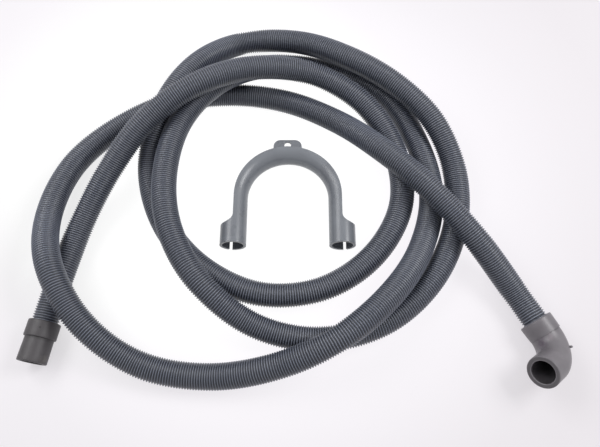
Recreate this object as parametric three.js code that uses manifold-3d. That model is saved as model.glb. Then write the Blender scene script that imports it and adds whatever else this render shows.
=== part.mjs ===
import * as THREE from 'three';
import { mergeVertices } from 'three/addons/utils/BufferGeometryUtils.js';
import Module from 'manifold-3d';

// Washing machine drain hose lying in loose turns on a floor, with the cuffs on its two ends
// and the hose guide that was taken off it. Sizes in millimetres, +Z up, floor at z = 0.

// Fits
const bondGap = 0.3;            // left between the hose and the cuffs that it is bonded into
const floorGap = 0.1;           // left under the cuffs
const cutMargin = 1;            // how far a cutter runs past the face that it cuts

// Hose
const hoseDiameter = 26.4;      // over the crests of its corrugation
const hoseBore = 20.5;          // under the roots of its corrugation
const hoseSides = 12;
const hoseSteps = 80;
const hoseStraight = 33;        // straight stretch in front of each cuff

// Straight cuff
const cuffLength = 40.4;
const cuffCollarDiameter = 31.3;
const cuffCollarLength = 16.3;
const cuffWaistDiameter = 27.9; // of the sleeve, just below the collar
const cuffEndDiameter = 28.6;   // of the sleeve, at its open end
const cuffBore = 22;
const cuffSocketDepth = 15;
const cuffEdgeRound = 1;

// Elbow cuff
const elbowCollarDiameter = 33.2;    // of the collar where the hose enters it
const elbowCollarEndDiameter = 32.2; // of the collar where the bend begins
const elbowCollarLength = 16;
const elbowDiameter = 31.2;
const elbowBore = 22;
const elbowBendRadius = 25.3;
const elbowBendAngle = 88;      // degrees
const elbowOutletLength = 19.2;
const elbowSocketDepth = 15.5;
const elbowMouthChamfer = 0.8;
const elbowNibDiameter = 2.6;   // mould nib on the outside of the bend
const elbowNibHeight = 2.6;
const elbowNibTurn = 38;        // degrees round the bend, from its start
const elbowNibRoll = 58;        // degrees round the pipe, from the outside of the bend upward

// Hose guide
const guideSpan = 115.8;        // between the centre lines of its two arms
const guideArmLength = 53.7;    // from the arch to the arms' ends
const guidePipeDiameter = 28;
const guideWall = 2.8;
const guideSleeveLength = 22;   // along its outermost line
const guideSleeveSlant = 9;     // how much longer a sleeve is at the gutter's rims
const guideSlitWidth = 3.6;
const guideSlitTurn = 16;       // degrees outward from straight down
const tabLength = 22.7;         // beyond the arch's rim
const tabBaseWidth = 35;
const tabTopWidth = 31.5;
const tabCornerRadius = 8;
const tabHoleDiameter = 7.8;
const tabHoleInset = 6.6;       // from the tab's top edge to the hole's centre
const tabOffset = -1.3;         // of the tab from the arch's middle
const tabThickness = 2.8;
const tabRoot = 2.5;            // how far the tab runs into the gutter's wall

// Where things lie
const cuffPlace = new THREE.Vector2(-248.5, -142.3);  // where the hose enters the straight cuff
const cuffHeading = -99.8;                            // degrees from +X, from the hose into the cuff
const elbowPlace = new THREE.Vector2(240.2, -141);    // where the hose enters the elbow
const elbowHeading = -60.8;                           // degrees from +X, from the hose into the elbow
const elbowTilt = 35.5;                               // degrees that its mouth points above the floor
const guidePlace = new THREE.Vector2(-7.2, -6.9);     // middle of the guide's arch

// The hose's centre line between the cuffs, chosen by hand along the lie in the photo: [x, y, height].
const hoseRoute = [
  [-227.7, -39.5, 15.7], [-198.6, 18.2, 33.8], [-158.2, 65.1, 58.6], [-104.4, 102.2, 71.3],
  [-45.1, 130.7, 61.2], [18.6, 137, 42.7], [75.5, 105.6, 33.4], [110.4, 51.6, 21.5],
  [115.4, -12.7, 16.5], [84.2, -70.2, 13.9], [28.7, -107.4, 13.7], [-38, -112.3, 13.7],
  [-98.9, -83.1, 13.7], [-141.9, -32.3, 14.6], [-160.5, 32.9, 18.6], [-146, 95.2, 38.3],
  [-113.2, 150.4, 40.6], [-64.4, 193.4, 24.7], [1.4, 188.4, 33.9], [60.3, 157.8, 44.9],
  [113, 121.2, 44.5], [153.7, 78.6, 35.6], [176, 24, 19.4], [171.4, -39.5, 14.2],
  [141.4, -98.7, 14], [90.2, -142.4, 14.2], [26.3, -159.2, 14.2], [-38.9, -146.6, 19.7],
  [-92.9, -107.8, 36.5], [-126.9, -51.7, 41.5], [-137.5, 13.7, 39.8], [-123.4, 78.8, 41.1],
  [-81.5, 128, 42.9], [-22.9, 166.2, 18.3], [43, 160.9, 13.9], [105.8, 125.7, 14],
  [137.6, 66, 14.1], [149.2, -1.1, 14.3], [131.3, -66.7, 21.9], [94.2, -120.5, 36.9],
  [43, -163.4, 42.4], [-17.5, -187.4, 27.7], [-83.6, -195.3, 14.7], [-149.6, -184.1, 17.7],
  [-204, -148.6, 34.7], [-240.4, -93.8, 45.7], [-257.5, -31.4, 28.7], [-243.3, 32.8, 19.7],
  [-201.1, 83.8, 14.2], [-142.6, 116.9, 14.1], [-76.6, 127.5, 13.9], [-10.6, 117.9, 14.7],
  [48.1, 86.4, 21.7], [94.6, 38.5, 41.5], [139.6, -9.6, 47.7], [182.8, -59.4, 37.9],
];

const wasm = await Module();
wasm.setup();

const up = new THREE.Vector3(0, 0, 1);

function planDirection(degrees) {
  const angle = THREE.MathUtils.degToRad(degrees);
  return new THREE.Vector3(Math.cos(angle), Math.sin(angle), 0);
}

function solidOf(geometry) {
  const bare = geometry.clone();
  bare.deleteAttribute('normal');
  bare.deleteAttribute('uv');
  const merged = mergeVertices(bare);
  return new wasm.Manifold(new wasm.Mesh({
    numProp: 3,
    vertProperties: new Float32Array(merged.attributes.position.array),
    triVerts: new Uint32Array(merged.index.array),
  }));
}

function geometryOf(solid) {
  const mesh = solid.getMesh();
  const geometry = new THREE.BufferGeometry();
  geometry.setAttribute('position', new THREE.BufferAttribute(mesh.vertProperties, 3));
  geometry.setIndex(new THREE.BufferAttribute(mesh.triVerts, 1));
  const facets = geometry.toNonIndexed();
  facets.computeVertexNormals();
  return facets;
}

function polygon(radius, sides) {
  const points = [];
  for (let i = 0; i < sides; i += 1) {
    const angle = (2 * Math.PI * i) / sides;
    points.push(new THREE.Vector2(radius * Math.cos(angle), radius * Math.sin(angle)));
  }
  return points;
}

// A round section for a sweep, solid or with a round bore.
function roundSection(radius, sides, boreRadius = 0) {
  const section = new THREE.Shape(polygon(radius, sides));
  if (boreRadius > 0) section.holes.push(new THREE.Path(polygon(boreRadius, sides)));
  return section;
}

function sweep(section, path, steps) {
  return new THREE.ExtrudeGeometry(section, { steps, extrudePath: path });
}

// A turned body about +Z, from a closed outline of [radius, height] points.
function turned(outline, segments) {
  const points = [...outline, outline[0]].map(([radius, height]) => new THREE.Vector2(radius, height));
  return new THREE.LatheGeometry(points, segments).rotateX(Math.PI / 2);
}

// A straight inlet from `start` along `forward`, an arc towards `side`, and a straight outlet.
class BentPath extends THREE.Curve {
  constructor(start, forward, side, inlet, radius, angle, outlet) {
    super();
    Object.assign(this, { start, forward, side, inlet, radius, angle, outlet });
    this.arcLength = radius * angle;
  }

  getPoint(t, target = new THREE.Vector3()) {
    const along = t * (this.inlet + this.arcLength + this.outlet);
    const turn = THREE.MathUtils.clamp((along - this.inlet) / this.radius, 0, this.angle);
    const inletRun = Math.min(along, this.inlet);
    const outletRun = Math.max(along - this.inlet - this.arcLength, 0);
    const ahead = inletRun + this.radius * Math.sin(turn) + outletRun * Math.cos(turn);
    const aside = this.radius * (1 - Math.cos(turn)) + outletRun * Math.sin(turn);
    return target.copy(this.start).addScaledVector(this.forward, ahead).addScaledVector(this.side, aside);
  }
}

const hoseRadius = hoseDiameter / 2;
const socketRadius = hoseRadius + bondGap;

const cuffAxis = planDirection(cuffHeading);
const cuffEntry = new THREE.Vector3(cuffPlace.x, cuffPlace.y, cuffCollarDiameter / 2 + floorGap);
const elbowAxis = planDirection(elbowHeading);
const elbowEntry = new THREE.Vector3(elbowPlace.x, elbowPlace.y, elbowCollarDiameter / 2 + floorGap);

// Point on the axis of a cuff, measured into it from where the hose enters.
function alongCuff(entry, axis, distance) {
  return entry.clone().addScaledVector(axis, distance);
}

function makeHose() {
  const centreLine = new THREE.CatmullRomCurve3([
    alongCuff(cuffEntry, cuffAxis, cuffSocketDepth - bondGap),
    cuffEntry,
    alongCuff(cuffEntry, cuffAxis, -hoseStraight),
    ...hoseRoute.map((point) => new THREE.Vector3(...point)),
    alongCuff(elbowEntry, elbowAxis, -hoseStraight),
    elbowEntry,
    alongCuff(elbowEntry, elbowAxis, elbowSocketDepth - bondGap),
  ]);
  centreLine.arcLengthDivisions = 2000;
  return sweep(roundSection(hoseRadius, hoseSides, hoseBore / 2), centreLine, hoseSteps);
}

// Entry of the hose at the origin, open end towards +Z.
function makeStraightCuff() {
  const collar = cuffCollarDiameter / 2;
  const end = cuffEndDiameter / 2;
  return turned([
    [socketRadius, 0],
    [collar - cuffEdgeRound, 0],
    [collar, cuffEdgeRound],
    [collar, cuffCollarLength - cuffEdgeRound],
    [collar - cuffEdgeRound, cuffCollarLength],
    [cuffWaistDiameter / 2, cuffCollarLength],
    [end, cuffLength - cuffEdgeRound],
    [end - cuffEdgeRound, cuffLength],
    [cuffBore / 2, cuffLength],
    [cuffBore / 2, cuffSocketDepth],
    [socketRadius, cuffSocketDepth],
  ], 40);
}

// Entry of the hose at the origin, inlet towards +Z, mouth towards +X.
function makeElbowCuff() {
  const bend = THREE.MathUtils.degToRad(elbowBendAngle);
  const mouthwards = new THREE.Vector3(1, 0, 0);
  const pathFrom = (start, inlet, outlet) => (
    new BentPath(start, up, mouthwards, inlet, elbowBendRadius, bend, outlet));
  const outerPath = pathFrom(new THREE.Vector3(), elbowCollarLength, elbowOutletLength);
  const borePath = pathFrom(new THREE.Vector3(0, 0, -cutMargin),
    elbowCollarLength + cutMargin, elbowOutletLength + cutMargin);

  const radius = elbowDiameter / 2;
  const collar = elbowCollarDiameter / 2;
  const collarSolid = turned([
    [0, 0],
    [collar - cuffEdgeRound, 0],
    [collar, cuffEdgeRound],
    [elbowCollarEndDiameter / 2, elbowCollarLength - cuffEdgeRound],
    [radius, elbowCollarLength],
    [0, elbowCollarLength],
  ], 40);
  const socket = new THREE.CylinderGeometry(socketRadius, socketRadius, elbowSocketDepth + cutMargin, 40)
    .rotateX(Math.PI / 2)
    .translate(0, 0, (elbowSocketDepth - cutMargin) / 2);

  const mouth = outerPath.getPoint(1);
  const mouthAxis = outerPath.getTangent(1);
  const flare = elbowMouthChamfer + cutMargin;
  const chamfer = new THREE.CylinderGeometry(elbowBore / 2 + flare, elbowBore / 2, flare, 40)
    .translate(0, cutMargin - flare / 2, 0)
    .applyQuaternion(new THREE.Quaternion().setFromUnitVectors(new THREE.Vector3(0, 1, 0), mouthAxis))
    .translate(mouth.x, mouth.y, mouth.z);

  // The nib stands on the bend's outer half, square to its wall.
  const nibTurn = THREE.MathUtils.degToRad(elbowNibTurn);
  const nibRoll = THREE.MathUtils.degToRad(elbowNibRoll);
  const outermost = new THREE.Vector3(-Math.cos(nibTurn), 0, Math.sin(nibTurn));
  const outward = outermost.clone().multiplyScalar(Math.cos(nibRoll));
  outward.y = -Math.sin(nibRoll);
  const nibMiddle = new THREE.Vector3(elbowBendRadius, 0, elbowCollarLength)
    .addScaledVector(outermost, elbowBendRadius)
    .addScaledVector(outward, radius + elbowNibHeight / 2 - cutMargin / 2);
  const nibRadius = elbowNibDiameter / 2;
  const nib = new THREE.CylinderGeometry(nibRadius, nibRadius, elbowNibHeight + cutMargin, 12)
    .applyQuaternion(new THREE.Quaternion().setFromUnitVectors(new THREE.Vector3(0, 1, 0), outward))
    .translate(nibMiddle.x, nibMiddle.y, nibMiddle.z);

  const solid = solidOf(sweep(roundSection(radius, 28), outerPath, 15))
    .add(solidOf(collarSolid))
    .add(solidOf(nib))
    .subtract(solidOf(sweep(roundSection(elbowBore / 2, 28), borePath, 15)))
    .subtract(solidOf(socket))
    .subtract(solidOf(chamfer));
  return geometryOf(solid);
}

// The arch's centre at the origin, arms towards -Y, lying on the floor.
function makeHoseGuide() {
  const pipe = guidePipeDiameter / 2;
  const half = guideSpan / 2;
  const centreLine = new BentPath(new THREE.Vector3(-half, -guideArmLength, pipe),
    new THREE.Vector3(0, 1, 0), new THREE.Vector3(1, 0, 0), guideArmLength, half, Math.PI, guideArmLength);
  const bentPipe = solidOf(sweep(roundSection(pipe, 20, pipe - guideWall), centreLine, 30));

  // Plan of what is cut away: the pipe's outer half, all round from one sleeve to the other.
  const outermost = half + pipe + cutMargin;
  const sleeveTop = guideSleeveLength - guideArmLength;
  const rimTop = sleeveTop + guideSleeveSlant;
  const outerHalf = new THREE.Shape();
  outerHalf.moveTo(half, rimTop);
  outerHalf.absellipse(half + pipe, rimTop, pipe, guideSleeveSlant, Math.PI, 1.5 * Math.PI);
  outerHalf.lineTo(outermost, sleeveTop);
  outerHalf.lineTo(outermost, outermost);
  outerHalf.lineTo(-outermost, outermost);
  outerHalf.lineTo(-outermost, sleeveTop);
  outerHalf.absellipse(-half - pipe, rimTop, pipe, guideSleeveSlant, 1.5 * Math.PI, 2 * Math.PI);
  outerHalf.lineTo(-half, 0);
  outerHalf.absarc(0, 0, half, Math.PI, 0, true);
  outerHalf.closePath();
  const outerCut = new THREE.ExtrudeGeometry(outerHalf,
    { depth: guidePipeDiameter + 2 * cutMargin, bevelEnabled: false, curveSegments: 24 })
    .translate(0, 0, -cutMargin);

  const slitCut = (side) => {
    const slitDepth = pipe + cutMargin;
    const slitLength = guideArmLength + rimTop + cutMargin;
    return new THREE.BoxGeometry(guideSlitWidth, slitLength, slitDepth)
      .translate(0, -guideArmLength - cutMargin + slitLength / 2, -slitDepth / 2)
      .rotateY(-side * THREE.MathUtils.degToRad(guideSlitTurn))
      .translate(side * half, 0, pipe);
  };

  const tab = new THREE.Shape();
  const root = Math.sqrt(half ** 2 - (tabBaseWidth / 2 + Math.abs(tabOffset)) ** 2) - tabRoot;
  const tabTop = half + tabLength;
  tab.moveTo(-tabBaseWidth / 2, root);
  tab.lineTo(tabBaseWidth / 2, root);
  const cornerX = tabTopWidth / 2 - tabCornerRadius;
  const cornerY = tabTop - tabCornerRadius;
  tab.absarc(cornerX, cornerY, tabCornerRadius, 0, Math.PI / 2);
  tab.absarc(-cornerX, cornerY, tabCornerRadius, Math.PI / 2, Math.PI);
  tab.closePath();
  const tabHole = new THREE.Path();
  tabHole.absarc(0, tabTop - tabHoleInset, tabHoleDiameter / 2, 0, 2 * Math.PI, true);
  tab.holes.push(tabHole);
  const tabPlate = new THREE.ExtrudeGeometry(tab,
    { depth: tabThickness, bevelEnabled: false, curveSegments: 8 })
    .translate(tabOffset, 0, 0);

  const solid = bentPipe
    .subtract(solidOf(outerCut))
    .subtract(solidOf(slitCut(1)))
    .subtract(solidOf(slitCut(-1)))
    .add(solidOf(tabPlate));
  return geometryOf(solid);
}

function piece(name, geometry, colour, roughness) {
  const material = new THREE.MeshStandardMaterial({ color: colour, roughness, metalness: 0 });
  const mesh = new THREE.Mesh(geometry, material);
  mesh.name = name;
  return mesh;
}

// A holder whose +X, +Z run along the given directions.
function holder(place, xAxis, zAxis, child) {
  const group = new THREE.Group();
  const yAxis = new THREE.Vector3().crossVectors(zAxis, xAxis);
  group.quaternion.setFromRotationMatrix(new THREE.Matrix4().makeBasis(xAxis, yAxis, zAxis));
  group.position.copy(place);
  group.add(child);
  return group;
}

const cuffSide = new THREE.Vector3().crossVectors(up, cuffAxis);
const elbowSide = new THREE.Vector3().crossVectors(elbowAxis, up);
const tilt = THREE.MathUtils.degToRad(elbowTilt);
const mouthDirection = elbowSide.multiplyScalar(Math.cos(tilt)).addScaledVector(up, Math.sin(tilt));

const guide = piece('hose_guide', makeHoseGuide(), 0x7d8084, 0.45);
guide.position.set(guidePlace.x, guidePlace.y, 0);

const drainHose = new THREE.Group();
drainHose.add(
  piece('corrugated_hose', makeHose(), 0x646b73, 0.4),
  holder(cuffEntry, cuffSide, cuffAxis, piece('straight_cuff', makeStraightCuff(), 0x6a6868, 0.6)),
  holder(elbowEntry, mouthDirection, elbowAxis, piece('elbow_cuff', makeElbowCuff(), 0x7b7979, 0.6)),
  guide,
);

export default drainHose;
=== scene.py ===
import math

import bmesh
import bpy
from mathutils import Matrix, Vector


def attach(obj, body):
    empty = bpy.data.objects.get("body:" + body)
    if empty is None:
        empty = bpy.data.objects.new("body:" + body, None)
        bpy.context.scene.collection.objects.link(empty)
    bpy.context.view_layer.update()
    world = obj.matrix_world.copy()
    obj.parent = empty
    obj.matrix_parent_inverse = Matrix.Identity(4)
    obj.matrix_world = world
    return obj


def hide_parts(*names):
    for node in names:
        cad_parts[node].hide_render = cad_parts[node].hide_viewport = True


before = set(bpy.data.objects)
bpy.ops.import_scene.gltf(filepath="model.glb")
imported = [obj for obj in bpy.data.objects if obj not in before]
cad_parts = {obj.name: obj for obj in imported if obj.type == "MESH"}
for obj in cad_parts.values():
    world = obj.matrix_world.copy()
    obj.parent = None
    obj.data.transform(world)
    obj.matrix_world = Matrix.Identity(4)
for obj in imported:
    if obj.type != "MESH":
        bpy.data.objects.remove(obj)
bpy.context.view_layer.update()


# Camera. It looks down on the turns from in front, 22 degrees off straight down,
# at 0.58 m above the floor, with the photograph's field of view.
camera = bpy.data.objects.new("camera", bpy.data.cameras.new("camera"))
camera.location = (0.0058, -0.2642, 0.58)
camera.rotation_euler = (math.radians(22), 0, 0)
camera.data.sensor_fit = "HORIZONTAL"
camera.data.sensor_width = 36
camera.data.lens = 34.2
camera.data.clip_start = 0.01
bpy.context.scene.collection.objects.link(camera)
bpy.context.scene.camera = camera


# Corrugated hose. One tube of grey polypropylene, extruded and blown into fine ribs, about 4 m long.
# It lies on the floor in three and a half loose turns, and passes over itself in low humps.
# Both ends are pushed into the cuffs and bonded there.
hose_diameter = 0.0264
hose_bore = 0.0205
rib_pitch = 0.00253
rib_depth = 0.0016
rings_per_rib = 3
hose_sides = 20
lining_rings = 240
hose_straight = 0.033               # its straight run ahead of each cuff
cuff_entry = Vector((-0.2485, -0.1423, 0.01575))
cuff_heading = math.radians(-99.8)
cuff_reach = 0.0147                 # how far the hose goes into the straight cuff
elbow_entry = Vector((0.2402, -0.1410, 0.0167))
elbow_heading = math.radians(-60.8)
elbow_reach = 0.0152

# The centre line between the cuffs, in metres, as the frame has it.
hose_route = [
    (-0.2277, -0.0395, 0.0157), (-0.1986, 0.0182, 0.0338), (-0.1582, 0.0651, 0.0586),
    (-0.1044, 0.1022, 0.0713), (-0.0451, 0.1307, 0.0612), (0.0186, 0.1370, 0.0427),
    (0.0755, 0.1056, 0.0334), (0.1104, 0.0516, 0.0215), (0.1154, -0.0127, 0.0165),
    (0.0842, -0.0702, 0.0139), (0.0287, -0.1074, 0.0137), (-0.0380, -0.1123, 0.0137),
    (-0.0989, -0.0831, 0.0137), (-0.1419, -0.0323, 0.0146), (-0.1605, 0.0329, 0.0186),
    (-0.1460, 0.0952, 0.0383), (-0.1132, 0.1504, 0.0406), (-0.0644, 0.1934, 0.0247),
    (0.0014, 0.1884, 0.0339), (0.0603, 0.1578, 0.0449), (0.1130, 0.1212, 0.0445),
    (0.1537, 0.0786, 0.0356), (0.1760, 0.0240, 0.0194), (0.1714, -0.0395, 0.0142),
    (0.1414, -0.0987, 0.0140), (0.0902, -0.1424, 0.0142), (0.0263, -0.1592, 0.0142),
    (-0.0389, -0.1466, 0.0197), (-0.0929, -0.1078, 0.0365), (-0.1269, -0.0517, 0.0415),
    (-0.1375, 0.0137, 0.0398), (-0.1234, 0.0788, 0.0411), (-0.0815, 0.1280, 0.0429),
    (-0.0229, 0.1662, 0.0183), (0.0430, 0.1609, 0.0139), (0.1058, 0.1257, 0.0140),
    (0.1376, 0.0660, 0.0141), (0.1492, -0.0011, 0.0143), (0.1313, -0.0667, 0.0219),
    (0.0942, -0.1205, 0.0369), (0.0430, -0.1634, 0.0424), (-0.0175, -0.1874, 0.0277),
    (-0.0836, -0.1953, 0.0147), (-0.1496, -0.1841, 0.0177), (-0.2040, -0.1486, 0.0347),
    (-0.2404, -0.0938, 0.0457), (-0.2575, -0.0314, 0.0287), (-0.2433, 0.0328, 0.0197),
    (-0.2011, 0.0838, 0.0142), (-0.1426, 0.1169, 0.0141), (-0.0766, 0.1275, 0.0139),
    (-0.0106, 0.1179, 0.0147), (0.0481, 0.0864, 0.0217), (0.0946, 0.0385, 0.0415),
    (0.1396, -0.0096, 0.0477), (0.1828, -0.0594, 0.0379),
]


def heading(angle):
    return Vector((math.cos(angle), math.sin(angle), 0))


def smooth_line(points, spans=40):
    """A centripetal spline through the points, as a dense list."""
    first = points[0] * 2 - points[1]
    last = points[-1] * 2 - points[-2]
    points = [first, *points, last]
    line = []
    for before, start, end, after in zip(points, points[1:], points[2:], points[3:]):
        lead = math.sqrt((start - before).length)
        middle = math.sqrt((end - start).length)
        trail = math.sqrt((after - end).length)
        leave = ((start - before) / lead - (end - before) / (lead + middle)
                 + (end - start) / middle) * middle
        arrive = ((end - start) / middle - (after - start) / (middle + trail)
                  + (after - end) / trail) * middle
        for step in range(spans):
            t = step / spans
            line.append(start * (2 * t**3 - 3 * t**2 + 1) + leave * (t**3 - 2 * t**2 + t)
                        + end * (3 * t**2 - 2 * t**3) + arrive * (t**3 - t**2))
    line.append(points[-2])
    return line


def evenly(line, count):
    """The line again, as count + 1 points at equal distances along it."""
    reach = [0.0]
    for start, end in zip(line, line[1:]):
        reach.append(reach[-1] + (end - start).length)
    points, i = [], 0
    for step in range(count + 1):
        target = reach[-1] * step / count
        while i < len(line) - 2 and reach[i + 1] < target:
            i += 1
        points.append(line[i].lerp(line[i + 1], (target - reach[i]) / (reach[i + 1] - reach[i])))
    return points, reach[-1]


hose_line = smooth_line([
    cuff_entry + heading(cuff_heading) * cuff_reach,
    cuff_entry,
    cuff_entry - heading(cuff_heading) * hose_straight,
    *map(Vector, hose_route),
    elbow_entry - heading(elbow_heading) * hose_straight,
    elbow_entry,
    elbow_entry + heading(elbow_heading) * elbow_reach,
])
rib_count = round(evenly(hose_line, 1)[1] / rib_pitch)
ring_centres, hose_length = evenly(hose_line, rib_count * rings_per_rib)


class Wire:
    """A socket of a node tree, so that node maths reads as plain arithmetic."""

    def __init__(self, tree, socket=None):
        self.tree = tree
        self.socket = socket

    def node(self, kind, settings=None, output=0, **sockets):
        """Adds a node: its settings first, then its sockets, by name or as _0, _1 by place."""
        made = self.tree.nodes.new(kind)
        for name, value in (settings or {}).items():
            if name == "stops":
                ramp = made.color_ramp.elements
                for place, shade in value[2:]:
                    ramp.new(place)
                for element, (place, shade) in zip(ramp, value):
                    element.position = place
                    element.color = (*shade, 1)
            else:
                setattr(made, name, value)
        for name, value in sockets.items():
            socket = made.inputs[int(name[1:]) if name[0] == "_" else name.replace("_", " ")]
            if isinstance(value, Wire):
                self.tree.links.new(value.socket, socket)
            else:
                socket.default_value = value
        return Wire(self.tree, made.outputs[output])

    def maths(self, operation, *terms):
        places = {f"_{i}": term for i, term in enumerate(terms)}
        return self.node("ShaderNodeMath", {"operation": operation}, **places)

    def __add__(self, other):
        return self.maths("ADD", self, other)

    def __sub__(self, other):
        return self.maths("SUBTRACT", self, other)

    def __rsub__(self, other):
        return self.maths("SUBTRACT", other, self)

    def __mul__(self, other):
        return self.maths("MULTIPLY", self, other)

    def __truediv__(self, other):
        return self.maths("DIVIDE", self, other)

    __radd__ = __add__
    __rmul__ = __mul__


def colour(red, green, blue):
    """A colour as it is seen, each part 11 to 255, as the light values that Blender works in."""
    return tuple(((part / 255 + 0.055) / 1.055) ** 2.4 for part in (red, green, blue))


def plastic(name, roughness):
    """A new material, with its shader's sockets ready and a Wire to build its tree with."""
    material = bpy.data.materials.new(name)
    material.use_nodes = True
    shader = material.node_tree.nodes["Principled BSDF"]
    shader.inputs["Roughness"].default_value = roughness
    return material, shader, Wire(material.node_tree)


def feed(wire, shader, socket):
    """Links a wire into one of the shader's sockets."""
    wire.tree.links.new(wire.socket, shader.inputs[socket])


def hose_material():
    """Semi-gloss plastic, with painted shade between the ribs and a painted highlight on their crests, and
    with worn patches and specks.
    """
    material, shader, make = plastic("hose_polypropylene", 0.42)
    place = make.node("ShaderNodeTexCoord", output="Object")
    crest = make.node("ShaderNodeAttribute", {"attribute_name": "crest"}, output="Fac")
    patches = make.node("ShaderNodeTexNoise", Vector=place, Scale=22, Detail=3)
    specks = make.node("ShaderNodeTexNoise", Vector=place, Scale=900, Detail=2)
    # Painted shade in the ribs' roots and a painted highlight on their crests, read from the attribute
    # crest.
    painted_rib_shade = make.node("ShaderNodeValToRGB", {"stops": [
        (0.0, colour(49, 52, 62)), (0.5, colour(79, 83, 95)), (1.0, colour(150, 156, 172))]},
        Fac=crest + (specks - 0.5) * 0.25)
    worn = make.node("ShaderNodeMix", {"data_type": "RGBA", "blend_type": "MULTIPLY"}, output=2,
                     _0=0.5, _6=painted_rib_shade,
                     _7=make.node("ShaderNodeValToRGB", {"stops": [
                         (0.3, colour(205, 208, 216)), (0.7, colour(255, 252, 246))]}, Fac=patches))
    feed(worn, shader, "Base Color")
    feed(patches * 0.14 + 0.34, shader, "Roughness")
    return material


def rib_tree(material):
    """Rings along the curve, out at each rib's crest and in at its root, closed by a plain lining."""
    tree = bpy.data.node_groups.new("hose_ribs", "GeometryNodeTree")
    tree.interface.new_socket("Curve", in_out="INPUT", socket_type="NodeSocketGeometry")
    for name in ("Radius", "Rib Depth", "Bore Radius"):
        tree.interface.new_socket(name, in_out="INPUT", socket_type="NodeSocketFloat")
    for name in ("Rings per Rib", "Ring Count", "Sides", "Lining Rings"):
        tree.interface.new_socket(name, in_out="INPUT", socket_type="NodeSocketInt")
    tree.interface.new_socket("Mesh", in_out="OUTPUT", socket_type="NodeSocketGeometry")
    make = Wire(tree)
    given = tree.nodes.new("NodeGroupInput").outputs
    curve, radius, depth, bore, per_rib, count, sides, lining_count = (
        Wire(tree, socket) for socket in list(given)[:8])

    index = make.node("GeometryNodeInputIndex")
    root = make.maths("GREATER_THAN", make.maths("MODULO", index, per_rib), 0.5)
    at_end = make.maths("MAXIMUM", make.maths("LESS_THAN", index, 0.5),
                        make.maths("GREATER_THAN", index, count - 0.5))
    wave = radius - root * depth
    ring_radius = wave + at_end * (bore - wave)

    upright = make.node("GeometryNodeSetCurveNormal", {"mode": "Z_UP"}, Curve=curve)
    section = make.node("GeometryNodeCurvePrimitiveCircle", {"mode": "RADIUS"},
                        Resolution=sides, Radius=1.0)
    # The attribute crest marks the crest rings, for the material's painted shade and highlight.
    marked = make.node("GeometryNodeStoreNamedAttribute", {"data_type": "FLOAT", "domain": "POINT"},
                       Geometry=upright, Name="crest", Value=1 - root)
    ribs = make.node("GeometryNodeCurveToMesh", Curve=marked, Profile_Curve=section, Scale=ring_radius)
    coarse = make.node("GeometryNodeResampleCurve", {"mode": "COUNT"}, Curve=upright, Count=lining_count)
    lining = make.node("GeometryNodeFlipFaces", Mesh=make.node(
        "GeometryNodeCurveToMesh", Curve=coarse, Profile_Curve=section, Scale=bore))
    joined = tree.nodes.new("GeometryNodeJoinGeometry")
    tree.links.new(lining.socket, joined.inputs[0])
    tree.links.new(ribs.socket, joined.inputs[0])
    welded = make.node("GeometryNodeMergeByDistance", Geometry=Wire(tree, joined.outputs[0]), Distance=1e-5)
    smooth = make.node("GeometryNodeSetShadeSmooth", Geometry=welded, Shade_Smooth=True)
    whole = make.node("GeometryNodeRealizeInstances", Geometry=smooth)
    finished = make.node("GeometryNodeSetMaterial", Geometry=whole, Material=material)
    out = tree.nodes.new("NodeGroupOutput")
    tree.links.new(finished.socket, out.inputs[0])
    return tree


def grown(name, source, tree, settings):
    """The object that a node tree grows from a source object, as a plain mesh of its own."""
    modifier = source.modifiers.new(tree.name, "NODES")
    modifier.node_group = tree
    sockets = {item.name: item.identifier for item in tree.interface.items_tree if item.in_out == "INPUT"}
    for label, value in settings.items():
        modifier[sockets[label]] = value
    bpy.context.scene.collection.objects.link(source)
    ready = source.evaluated_get(bpy.context.evaluated_depsgraph_get())
    mesh = bpy.data.meshes.new_from_object(ready)
    bpy.data.objects.remove(source)
    mesh.name = name
    grown_object = bpy.data.objects.new(name, mesh)
    bpy.context.scene.collection.objects.link(grown_object)
    return grown_object


hose_curve = bpy.data.curves.new("hose_line", "CURVE")
hose_curve.dimensions = "3D"
spline = hose_curve.splines.new("POLY")
spline.points.add(len(ring_centres) - 1)
for point, centre in zip(spline.points, ring_centres):
    point.co = (*centre, 1)

hose = grown("ribbed_hose", bpy.data.objects.new("hose_line", hose_curve), rib_tree(hose_material()), {
    "Radius": hose_diameter / 2,
    "Rib Depth": rib_depth,
    "Bore Radius": hose_bore / 2,
    "Rings per Rib": rings_per_rib,
    "Ring Count": len(ring_centres) - 1,
    "Sides": hose_sides,
    "Lining Rings": lining_rings,
})
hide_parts("corrugated_hose")
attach(hose, "root")


# Straight cuff. One sleeve of dark warm grey rubber with a thicker collar, moulded round the hose's end.
# It lies on the floor with its open end to the front, and a small mould pip stands on its collar.
cuff_length = 0.0404
cuff_collar = (0.0163, 0.01565)     # how long, and its radius
cuff_waist_radius = 0.01395
cuff_end_radius = 0.0143
cuff_bore_radius = 0.011
cuff_socket_depth = 0.015
socket_radius = hose_diameter / 2 + 0.0003
cuff_sides = 96
bore_edge = 0.0003                  # a point this near to the bore's radius still counts as the bore


def rounded(corners, arc_steps=5):
    """A closed outline, with each corner (x, y, radius) turned into an arc of that radius."""
    outline = []
    count = len(corners)
    for i, (x, y, radius) in enumerate(corners):
        corner = Vector((x, y))
        back = (Vector(corners[i - 1][:2]) - corner).normalized()
        ahead = (Vector(corners[(i + 1) % count][:2]) - corner).normalized()
        if radius == 0:
            outline.append(corner)
            continue
        opening = math.acos(max(-1, min(1, back.dot(ahead))))
        reach = radius / math.tan(opening / 2)
        middle = corner + (back + ahead).normalized() * radius / math.sin(opening / 2)
        start = corner + back * reach - middle
        end = corner + ahead * reach - middle
        for step in range(arc_steps + 1):
            outline.append(middle + start.slerp(end, step / arc_steps).normalized() * radius)
    return outline


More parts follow.
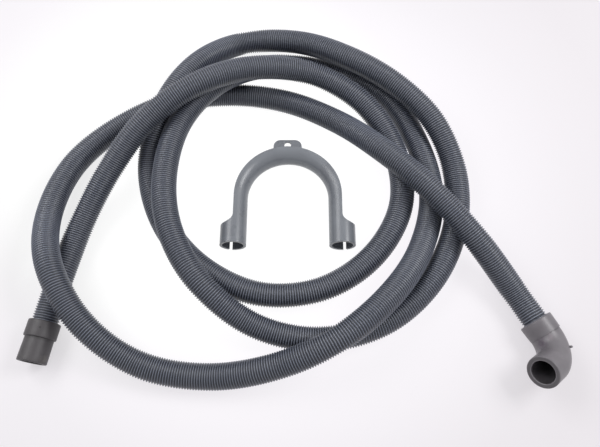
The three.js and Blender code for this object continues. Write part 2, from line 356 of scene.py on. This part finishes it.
def tight(outline, gap):
    """The closed outline again, with points added where two of them are more than a gap apart."""
    points = []
    for start, end in zip(outline, outline[1:] + outline[:1]):
        parts = max(1, math.ceil((end - start).length / gap))
        points += [start.lerp(end, part / parts) for part in range(parts)]
    return points


def mesh_object(name, mesh_maker, material):
    mesh = bpy.data.meshes.new(name)
    shell = bmesh.new()
    mesh_maker(shell)
    shell.to_mesh(mesh)
    shell.free()
    mesh.shade_smooth()
    mesh.materials.append(material)
    made = bpy.data.objects.new(name, mesh)
    bpy.context.scene.collection.objects.link(made)
    return made


def ringed(shell, outline, frame_at, shade_at, shaped=lambda along, radius, turn: radius):
    """Rings round a path, one for each (distance along, radius) of a closed outline.
    The layer "shade" holds painted shade and painted highlight, and the pips' own darker tone: how much the
    rubber's colour is darkened or lightened at each point."""
    shade = shell.verts.layers.float.new("shade")
    turns = [2 * math.pi * k / cuff_sides for k in range(cuff_sides)]
    rings = []
    for along, radius in outline:
        centre, across, upward = frame_at(along)
        rings.append([shell.verts.new(centre + (across * math.cos(turn) + upward * math.sin(turn))
                                      * shaped(along, radius, turn)) for turn in turns])
        for vertex in rings[-1]:
            vertex[shade] = shade_at(along, radius)
    for one, other in zip(rings, rings[1:] + rings[:1]):
        for k in range(cuff_sides):
            shell.faces.new((one[k], one[k - 1], other[k - 1], other[k]))
    bmesh.ops.recalc_face_normals(shell, faces=shell.faces)


def pip(shell, foot, outward, radius, height, tone, sides=12):
    """A small round-topped stub, such as the mark that a mould's gate leaves."""
    shade = shell.verts.layers.float["shade"]
    side = outward.orthogonal().normalized()
    other = outward.cross(side)
    levels = [(0.0, 1.1), (height * 0.5, 1.0), (height * 0.85, 0.85), (height, 0.5)]
    rings = []
    for level, share in levels:
        rings.append([shell.verts.new(foot + outward * level
                                      + (side * math.cos(t) + other * math.sin(t)) * radius * share)
                      for t in (2 * math.pi * k / sides for k in range(sides))])
        for vertex in rings[-1]:
            vertex[shade] = tone
    for one, two in zip(rings, rings[1:]):
        for k in range(sides):
            shell.faces.new((one[k - 1], one[k], two[k], two[k - 1]))
    shell.faces.new(rings[-1])
    shell.faces.new(rings[0][::-1])


def rubber(name, dark, light, roughness, marks):
    """Moulded rubber: a soft sheen, cloudy patches and a fine grain.
    Each mark is a blotch on it: its middle, how far it reaches, and its colour."""
    material, shader, make = plastic(name, roughness)
    place = make.node("ShaderNodeTexCoord", output="Object")
    clouds = make.node("ShaderNodeTexNoise", Vector=place, Scale=60, Detail=4)
    grain = make.node("ShaderNodeTexNoise", Vector=place, Scale=2600, Detail=2)
    tone = make.node("ShaderNodeValToRGB", {"stops": [(0.3, dark), (0.7, light)]},
                     Fac=clouds + (grain - 0.5) * 0.2)
    blotches = make.node("ShaderNodeTexNoise", Vector=place, Scale=420, Detail=3)
    for middle, reach, stain in marks:
        away = make.node("ShaderNodeVectorMath", {"operation": "DISTANCE"}, output="Value",
                         _0=place, _1=middle)
        tone = make.node("ShaderNodeMix", {"data_type": "RGBA"}, output=2,
                         _0=1 - away / reach + (blotches - 0.5) * 1.4, _6=tone, _7=(*stain, 1))
    # The attribute shade multiplies the colour: painted shade in bores, corners, creases and the mouth's
    # end, a painted highlight on the mouth's edge, and the pips' own tone.
    shade = make.node("ShaderNodeAttribute", {"attribute_name": "shade"}, output="Fac")
    shaded = make.node("ShaderNodeMix", {"data_type": "RGBA", "blend_type": "MULTIPLY"}, output=2,
                       _0=1.0, _6=tone, _7=shade)
    feed(shaded, shader, "Base Color")
    feed(clouds * 0.16 + (roughness - 0.08), shader, "Roughness")
    feed(make.node("ShaderNodeBump", Strength=0.12, Distance=0.0002, Height=grain), shader, "Normal")
    return material


def cuff_frame(along):
    """The middle of the cuff this far along it, and its two cross directions."""
    middle = cuff_entry + heading(cuff_heading) * along
    return middle, heading(cuff_heading + math.pi / 2), Vector((0, 0, 1))


def cuff_shade(along, radius):
    """Painted shade: darker in the bore, and in the corner under the collar's step."""
    painted_bore_shade, painted_corner_shade, corner_length = 0.5, 0.62, 0.0012
    if radius <= cuff_bore_radius + bore_edge and along > cuff_socket_depth:
        return painted_bore_shade
    return painted_corner_shade if cuff_collar[0] < along < cuff_collar[0] + corner_length else 1.0


def straight_cuff_shell(shell):
    collar_length, collar_radius = cuff_collar
    outline = tight(rounded([
        (0, socket_radius, 0),
        (0, collar_radius, 0.0012),
        (collar_length, collar_radius, 0.0009),
        (collar_length + 0.0004, cuff_waist_radius, 0.0004),
        (cuff_length, cuff_end_radius, 0.0011),
        (cuff_length, cuff_bore_radius, 0.0006),
        (cuff_socket_depth, cuff_bore_radius, 0),
        (cuff_socket_depth, socket_radius, 0),
    ]), gap=0.003)
    ringed(shell, outline, cuff_frame, cuff_shade)

    # The pip stands near the middle of the collar, a little to one side of its top.
    centre, across, upward = cuff_frame(collar_length * 0.46)
    outward = (upward * 0.97 + across * 0.23).normalized()
    foot = centre + outward * (collar_radius - 0.0003)
    pip(shell, foot, outward, radius=0.0008, height=0.001, tone=0.45)


straight_cuff = mesh_object("straight_cuff_rubber", straight_cuff_shell,
                            rubber("cuff_rubber", colour(66, 63, 66), colour(81, 78, 81), 0.47, [
                                ((-0.2425, -0.1803, 0.02), 0.006, colour(100, 97, 94))]))
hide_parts("straight_cuff")
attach(straight_cuff, "root")


# Elbow cuff. One right-angled sleeve of mid grey rubber, moulded round the hose's other end.
# Its inlet lies flat and its mouth is turned up to the left. A mould nib stands on the outside of the bend.
elbow_collar = (0.016, 0.0166)      # how long, and its radius at the hose
elbow_collar_end_radius = 0.0164
elbow_radius = 0.0156
elbow_bore_radius = 0.011
elbow_bend_radius = 0.0253
elbow_bend = math.radians(88)
elbow_outlet = 0.0192
elbow_socket_depth = 0.0155
mouth_edge_radius = 0.0011          # of the rounding between the bore and the mouth's end
elbow_tilt = math.radians(35.5)     # how far the mouth is turned up from lying flat
bend_length = elbow_bend_radius * elbow_bend
elbow_length = elbow_collar[0] + bend_length + elbow_outlet

elbow_axis = heading(elbow_heading)
elbow_side = elbow_axis.cross(Vector((0, 0, 1)))
mouth_direction = elbow_side * math.cos(elbow_tilt) + Vector((0, 0, 1)) * math.sin(elbow_tilt)
elbow_cross = elbow_axis.cross(mouth_direction)


def elbow_frame(along):
    """Straight through the collar, a turn, and straight to the mouth."""
    turn = max(0, min(elbow_bend, (along - elbow_collar[0]) / elbow_bend_radius))
    inlet = min(along, elbow_collar[0])
    outlet = max(along - elbow_collar[0] - bend_length, 0)
    ahead = inlet + elbow_bend_radius * math.sin(turn) + outlet * math.cos(turn)
    aside = elbow_bend_radius * (1 - math.cos(turn)) + outlet * math.sin(turn)
    centre = elbow_entry + elbow_axis * ahead + mouth_direction * aside
    return centre, elbow_cross, mouth_direction * math.cos(turn) - elbow_axis * math.sin(turn)


def worn_collar(along, radius, turn):
    """The collar's step is plain on the outside of the bend and runs out on the inside."""
    collar_length, step_length = elbow_collar[0], 0.001
    if radius <= elbow_radius or along > collar_length + step_length:
        return radius
    inside = max(0, math.sin(turn)) ** 0.5
    return radius - (radius - elbow_radius) * inside * min(1, max(0, along / collar_length)) ** 2


def elbow_shade(along, radius):
    """Painted shade in the bore, on the mouth's flat end and in the crease under the collar's step,
    and a painted highlight on the rounded edge between the bore and the mouth's end."""
    painted_bore_shade, painted_end_shade, painted_edge_highlight, painted_crease_shade = 0.55, 0.62, 1.25, 0.7
    end_depth, crease_length, crease_height = 0.00002, 0.001, 0.0005
    if radius <= elbow_bore_radius + bore_edge and along > elbow_socket_depth:
        return painted_bore_shade
    if along > elbow_length - end_depth:
        return painted_end_shade
    if along > elbow_length - mouth_edge_radius and radius < elbow_bore_radius + mouth_edge_radius:
        return painted_edge_highlight
    crease = (elbow_collar[0] <= along < elbow_collar[0] + crease_length
              and radius < elbow_radius + crease_height)
    return painted_crease_shade if crease else 1.0


def elbow_shell(shell):
    collar_length, collar_radius = elbow_collar
    outline = tight(rounded([
        (0, socket_radius, 0),
        (0, collar_radius, 0.0014),
        (collar_length, elbow_collar_end_radius, 0.0004),
        (collar_length + 0.0001, elbow_radius - 0.0001, 0.0002),
        (collar_length + 0.002, elbow_radius, 0.002),
        (elbow_length, elbow_radius, 0.0009),
        (elbow_length, elbow_bore_radius, mouth_edge_radius),
        (elbow_socket_depth, elbow_bore_radius, 0),
        (elbow_socket_depth, socket_radius, 0),
    ]), gap=0.002)
    ringed(shell, outline, elbow_frame, elbow_shade, worn_collar)

    # The nib stands on the outside of the bend, rolled from its outermost line towards the top.
    nib_turn, nib_roll = math.radians(38), math.radians(58)
    centre, across, inward = elbow_frame(collar_length + elbow_bend_radius * nib_turn)
    outward = -inward * math.cos(nib_roll) - across * math.sin(nib_roll)
    foot = centre + outward * (elbow_radius - 0.0004)
    pip(shell, foot, outward, radius=0.0012, height=0.003, tone=0.95)


elbow = mesh_object("elbow_cuff_rubber", elbow_shell,
                    rubber("elbow_rubber", colour(107, 103, 108), colour(124, 120, 125), 0.36, [
                        ((0.2405, -0.1660, 0.026), 0.008, colour(92, 82, 94)),
                        ((0.2467, -0.1602, 0.031), 0.0045, colour(140, 132, 138))]))
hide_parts("elbow_cuff")
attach(elbow, "root")


# Hose guide. A U of mid grey moulded plastic that holds the hose's end over a sink or standpipe.
# It is a half pipe, open outwards, with a split sleeve on each arm and a tab with a screw hole.
# It lies on the floor, off the hose.
guide_centre = Vector((-0.0072, -0.0069, 0.014))
guide_half_span = 0.0579
guide_arm = 0.0537
guide_radius = 0.014
guide_wall = 0.0028
sleeve_length = 0.022
sleeve_slant = 0.009
slit_width = 0.0036
slit_turn = math.radians(16)
tab_thickness = 0.0028
guide_arm_rows = 28
guide_arch_rows = 64
inner_steps = 24                    # round the closed inner half, edge to edge
outer_steps = 32                    # round a sleeve's outer half, from its split to the top
lip_steps = 2                       # from the bottom to a sleeve's split
weld_distance = 2e-6


def sleeve_edge(turn):
    """How far from the arm's end a sleeve reaches, by the angle from its outermost line."""
    across = max(0.0, math.cos(turn))
    return sleeve_length + sleeve_slant * (1 - math.sqrt(1 - (1 - across)**2))


def guide_point(side, run, turn, radius):
    """A point of the half pipe: on its left (-1) or right (1) half, a run from the arm's end."""
    arc = max(0.0, run - guide_arm) / guide_half_span
    straight = min(run, guide_arm) - guide_arm
    reach = guide_half_span + radius * math.cos(turn)
    return guide_centre + Vector((side * reach * math.cos(arc), straight + reach * math.sin(arc),
                                  radius * math.sin(turn)))


def guide_sheet(shell):
    """The middle surface of the wall: a gutter all round, widened to a split sleeve at both ends."""
    radius = guide_radius - guide_wall / 2
    slit_middle = 1.5 * math.pi + slit_turn
    slit_half = slit_width / 2 / radius
    top, bottom = math.pi / 2, 1.5 * math.pi
    rim_run = sleeve_length + sleeve_slant
    arch_end = guide_arm + guide_half_span * math.pi / 2

    def strip(side, turns, ends):
        """Rows from the arm's end to each turn's own end."""
        return [[shell.verts.new(guide_point(side, end * row / guide_arm_rows, turn, radius))
                 for turn, end in zip(turns, ends)] for row in range(guide_arm_rows + 1)]

    def knit(rows):
        for low, high in zip(rows, rows[1:]):
            for a, b, c, d in zip(low, low[1:], high[1:], high):
                shell.faces.new((a, b, c, d))

    inner = [top + (bottom - top) * k / inner_steps for k in range(inner_steps + 1)]
    outer = [slit_middle + slit_half - 2 * math.pi
             + (top - slit_middle - slit_half + 2 * math.pi) * math.sin(k * math.pi / (2 * outer_steps))
             for k in range(outer_steps + 1)]
    lip = [bottom + (slit_middle - slit_half - bottom) * k / lip_steps for k in range(lip_steps + 1)]
    for side in (-1, 1):
        knit(strip(side, outer, [sleeve_edge(turn) for turn in outer]))
        knit(strip(side, lip, [sleeve_edge(turn) for turn in lip]))
        knit(strip(side, inner, [rim_run] * len(inner)))
        knit([[shell.verts.new(guide_point(side, rim_run + (arch_end - rim_run) * row / guide_arch_rows,
                                           turn, radius)) for turn in inner]
              for row in range(guide_arch_rows + 1)])
    bmesh.ops.remove_doubles(shell, verts=shell.verts, dist=weld_distance)
    bmesh.ops.recalc_face_normals(shell, faces=shell.faces)


def guide_material():
    """Moulded plastic, satin, with a faint cloudy tone and fine specks."""
    material, shader, make = plastic("guide_plastic", 0.4)
    place = make.node("ShaderNodeTexCoord", output="Object")
    clouds = make.node("ShaderNodeTexNoise", Vector=place, Scale=35, Detail=4)
    grain = make.node("ShaderNodeTexNoise", Vector=place, Scale=1800, Detail=2)
    tone = make.node("ShaderNodeValToRGB", {"stops": [
        (0.3, colour(119, 122, 129)), (0.7, colour(131, 135, 142))]}, Fac=clouds + (grain - 0.5) * 0.15)
    feed(tone, shader, "Base Color")
    feed(clouds * 0.1 + 0.23, shader, "Roughness")
    feed(make.node("ShaderNodeBump", Strength=0.08, Distance=0.0002, Height=grain), shader, "Normal")
    return material


satin_plastic = guide_material()
gutter = mesh_object("guide_gutter", guide_sheet, satin_plastic)


def finish_with(piece, *modifiers):
    """Applies modifiers to a piece, each given as its kind and settings."""
    for kind, settings in modifiers:
        modifier = piece.modifiers.new(kind, kind)
        for name, value in settings.items():
            setattr(modifier, name, value)
    ready = piece.evaluated_get(bpy.context.evaluated_depsgraph_get())
    mesh = bpy.data.meshes.new_from_object(ready)
    piece.modifiers.clear()
    piece.data = mesh


def bevel(width):
    """The modifier that rounds every sharp edge by a width."""
    return "BEVEL", {"width": width, "segments": 3,
                     "limit_method": "ANGLE", "angle_limit": math.radians(50)}


finish_with(gutter, ("SOLIDIFY", {"thickness": guide_wall, "offset": 0, "use_even_offset": True}),
            bevel(0.0007))


# The guide's tab. It is moulded in one with the gutter's lower rim, and screws to a wall.
tab_base_width = 0.035
tab_top_width = 0.0315
tab_corner = 0.008
tab_length = 0.0227
tab_root = 0.0035
tab_offset = -0.0013
tab_hole_radius = 0.0039
tab_hole_inset = 0.0066


def tab_shell(shell):
    """A flat plate with a round hole: both faces are strips between the hole and the edge."""
    top = guide_half_span + tab_length
    root = math.sqrt(guide_half_span**2 - (tab_base_width / 2 + abs(tab_offset))**2) - tab_root
    edge = tight(rounded([
        (tab_base_width / 2, root, 0), (tab_top_width / 2, top, tab_corner),
        (-tab_top_width / 2, top, tab_corner), (-tab_base_width / 2, root, 0)], arc_steps=12), gap=0.0015)
    middle = Vector((0, top - tab_hole_inset))
    hole = [middle + (point - middle).normalized() * tab_hole_radius for point in edge]

    def loop(points, height):
        return [shell.verts.new((guide_centre.x + tab_offset + point.x, guide_centre.y + point.y, height))
                for point in points]

    low_edge, low_hole = loop(edge, 0), loop(hole, 0)
    high_edge, high_hole = loop(edge, tab_thickness), loop(hole, tab_thickness)
    order = [low_edge, low_hole, high_hole, high_edge]
    for one, two in zip(order, order[1:] + order[:1]):
        for k in range(len(edge)):
            shell.faces.new((one[k - 1], one[k], two[k], two[k - 1]))
    bmesh.ops.recalc_face_normals(shell, faces=shell.faces)


tab = mesh_object("guide_tab", tab_shell, satin_plastic)
finish_with(tab, bevel(0.0005))

# Gutter and tab become one mesh, as they are one moulding.
guide_mesh = bmesh.new()
guide_mesh.from_mesh(gutter.data)
guide_mesh.from_mesh(tab.data)
guide_mesh.to_mesh(gutter.data)
guide_mesh.free()
gutter.data.shade_smooth()
gutter.name = "guide_moulding"
bpy.data.objects.remove(tab)
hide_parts("hose_guide")
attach(gutter, "root")


# Floor. A pale sheet that shows white, with the hose's soft shadow, and painted shade that darkens it to
# lilac grey far from the middle.
floor_size = 6.0
floor_mesh = bpy.data.meshes.new("floor")
corner = floor_size / 2
floor_corners = [(-corner, -corner, 0), (corner, -corner, 0), (corner, corner, 0), (-corner, corner, 0)]
floor_mesh.from_pydata(floor_corners, [], [(0, 1, 2, 3)])
floor = bpy.data.objects.new("floor", floor_mesh)
bpy.context.scene.collection.objects.link(floor)


def shown_directly(make):
    """1 where the camera sees a surface, also as a mirror image or through glass, and 0 for other light."""
    camera, mirror, glass = (make.node("ShaderNodeLightPath", output=ray) for ray in (
        "Is Camera Ray", "Is Glossy Ray", "Is Transmission Ray"))
    return make.maths("MAXIMUM", camera, make.maths("MAXIMUM", mirror, glass))


# The paint glows where it is shown, less so further out, and gives the hose little light.
floor_paint = bpy.data.materials.new("floor_paint")
floor_paint.use_nodes = True
floor_nodes = floor_paint.node_tree.nodes
floor_nodes.remove(floor_nodes["Principled BSDF"])
make = Wire(floor_paint.node_tree)
place = make.node("ShaderNodeTexCoord", output="Object")
spread = make.node("ShaderNodeVectorMath", {"operation": "DISTANCE"}, output="Value",
                   _0=place, _1=(-0.13, 0.07, 0.0))
outward = make.node("ShaderNodeVectorMath", {"operation": "LENGTH"}, output="Value", _0=place)
glow = make.node("ShaderNodeMapRange", Value=outward,
                 From_Min=0.16, From_Max=0.32, To_Min=0.68, To_Max=0.32)
# Painted shade: the colour darkens to lilac grey away from the middle, for the light's falloff.
painted_falloff = make.node("ShaderNodeValToRGB", {"stops": [
    (0.2, colour(255, 255, 255)), (0.28, colour(248, 245, 249)), (0.35, colour(244, 241, 245)),
    (0.5, colour(236, 232, 236))]}, Fac=spread)
surface = make.node("ShaderNodeMixShader", Fac=shown_directly(make) * glow + 0.2,
                    _1=make.node("ShaderNodeBsdfDiffuse", Color=painted_falloff),
                    _2=make.node("ShaderNodeEmission", Color=painted_falloff, Strength=1.12))
floor_paint.node_tree.links.new(surface.socket, floor_nodes["Material Output"].inputs["Surface"])
floor_mesh.materials.append(floor_paint)


# Light. A broad soft panel on the left, a smaller one on the right and a wide dim one overhead.
# They stand in a pale room, and all look at the middle of the floor.
def panel(name, place, width, height, watts):
    lamp = bpy.data.lights.new(name, "AREA")
    lamp.shape = "RECTANGLE"
    lamp.size = width
    lamp.size_y = height
    lamp.energy = watts
    holder = bpy.data.objects.new(name, lamp)
    holder.location = place
    holder.rotation_euler = (Vector((0, 0, 0)) - Vector(place)).to_track_quat("-Z", "Y").to_euler()
    bpy.context.scene.collection.objects.link(holder)


panel("left_panel", (-0.8, 0.35, 1.05), width=0.9, height=0.6, watts=7)
panel("right_panel", (0.78, 0.12, 0.9), width=0.5, height=0.45, watts=6)
panel("top_panel", (0, 0.6, 1.8), width=2.4, height=2.4, watts=3.4)

# The room is shown white, and lights the scene with three tenths of that.
world = bpy.data.worlds.new("pale_room")
world.use_nodes = True
bpy.context.scene.world = world
backdrop = world.node_tree.nodes["Background"]
make = Wire(world.node_tree)
backdrop.inputs["Color"].default_value = (1, 1, 1, 1)
world.node_tree.links.new((shown_directly(make) * 0.7 + 0.3).socket, backdrop.inputs["Strength"])
bpy.context.scene.view_settings.view_transform = "Standard"
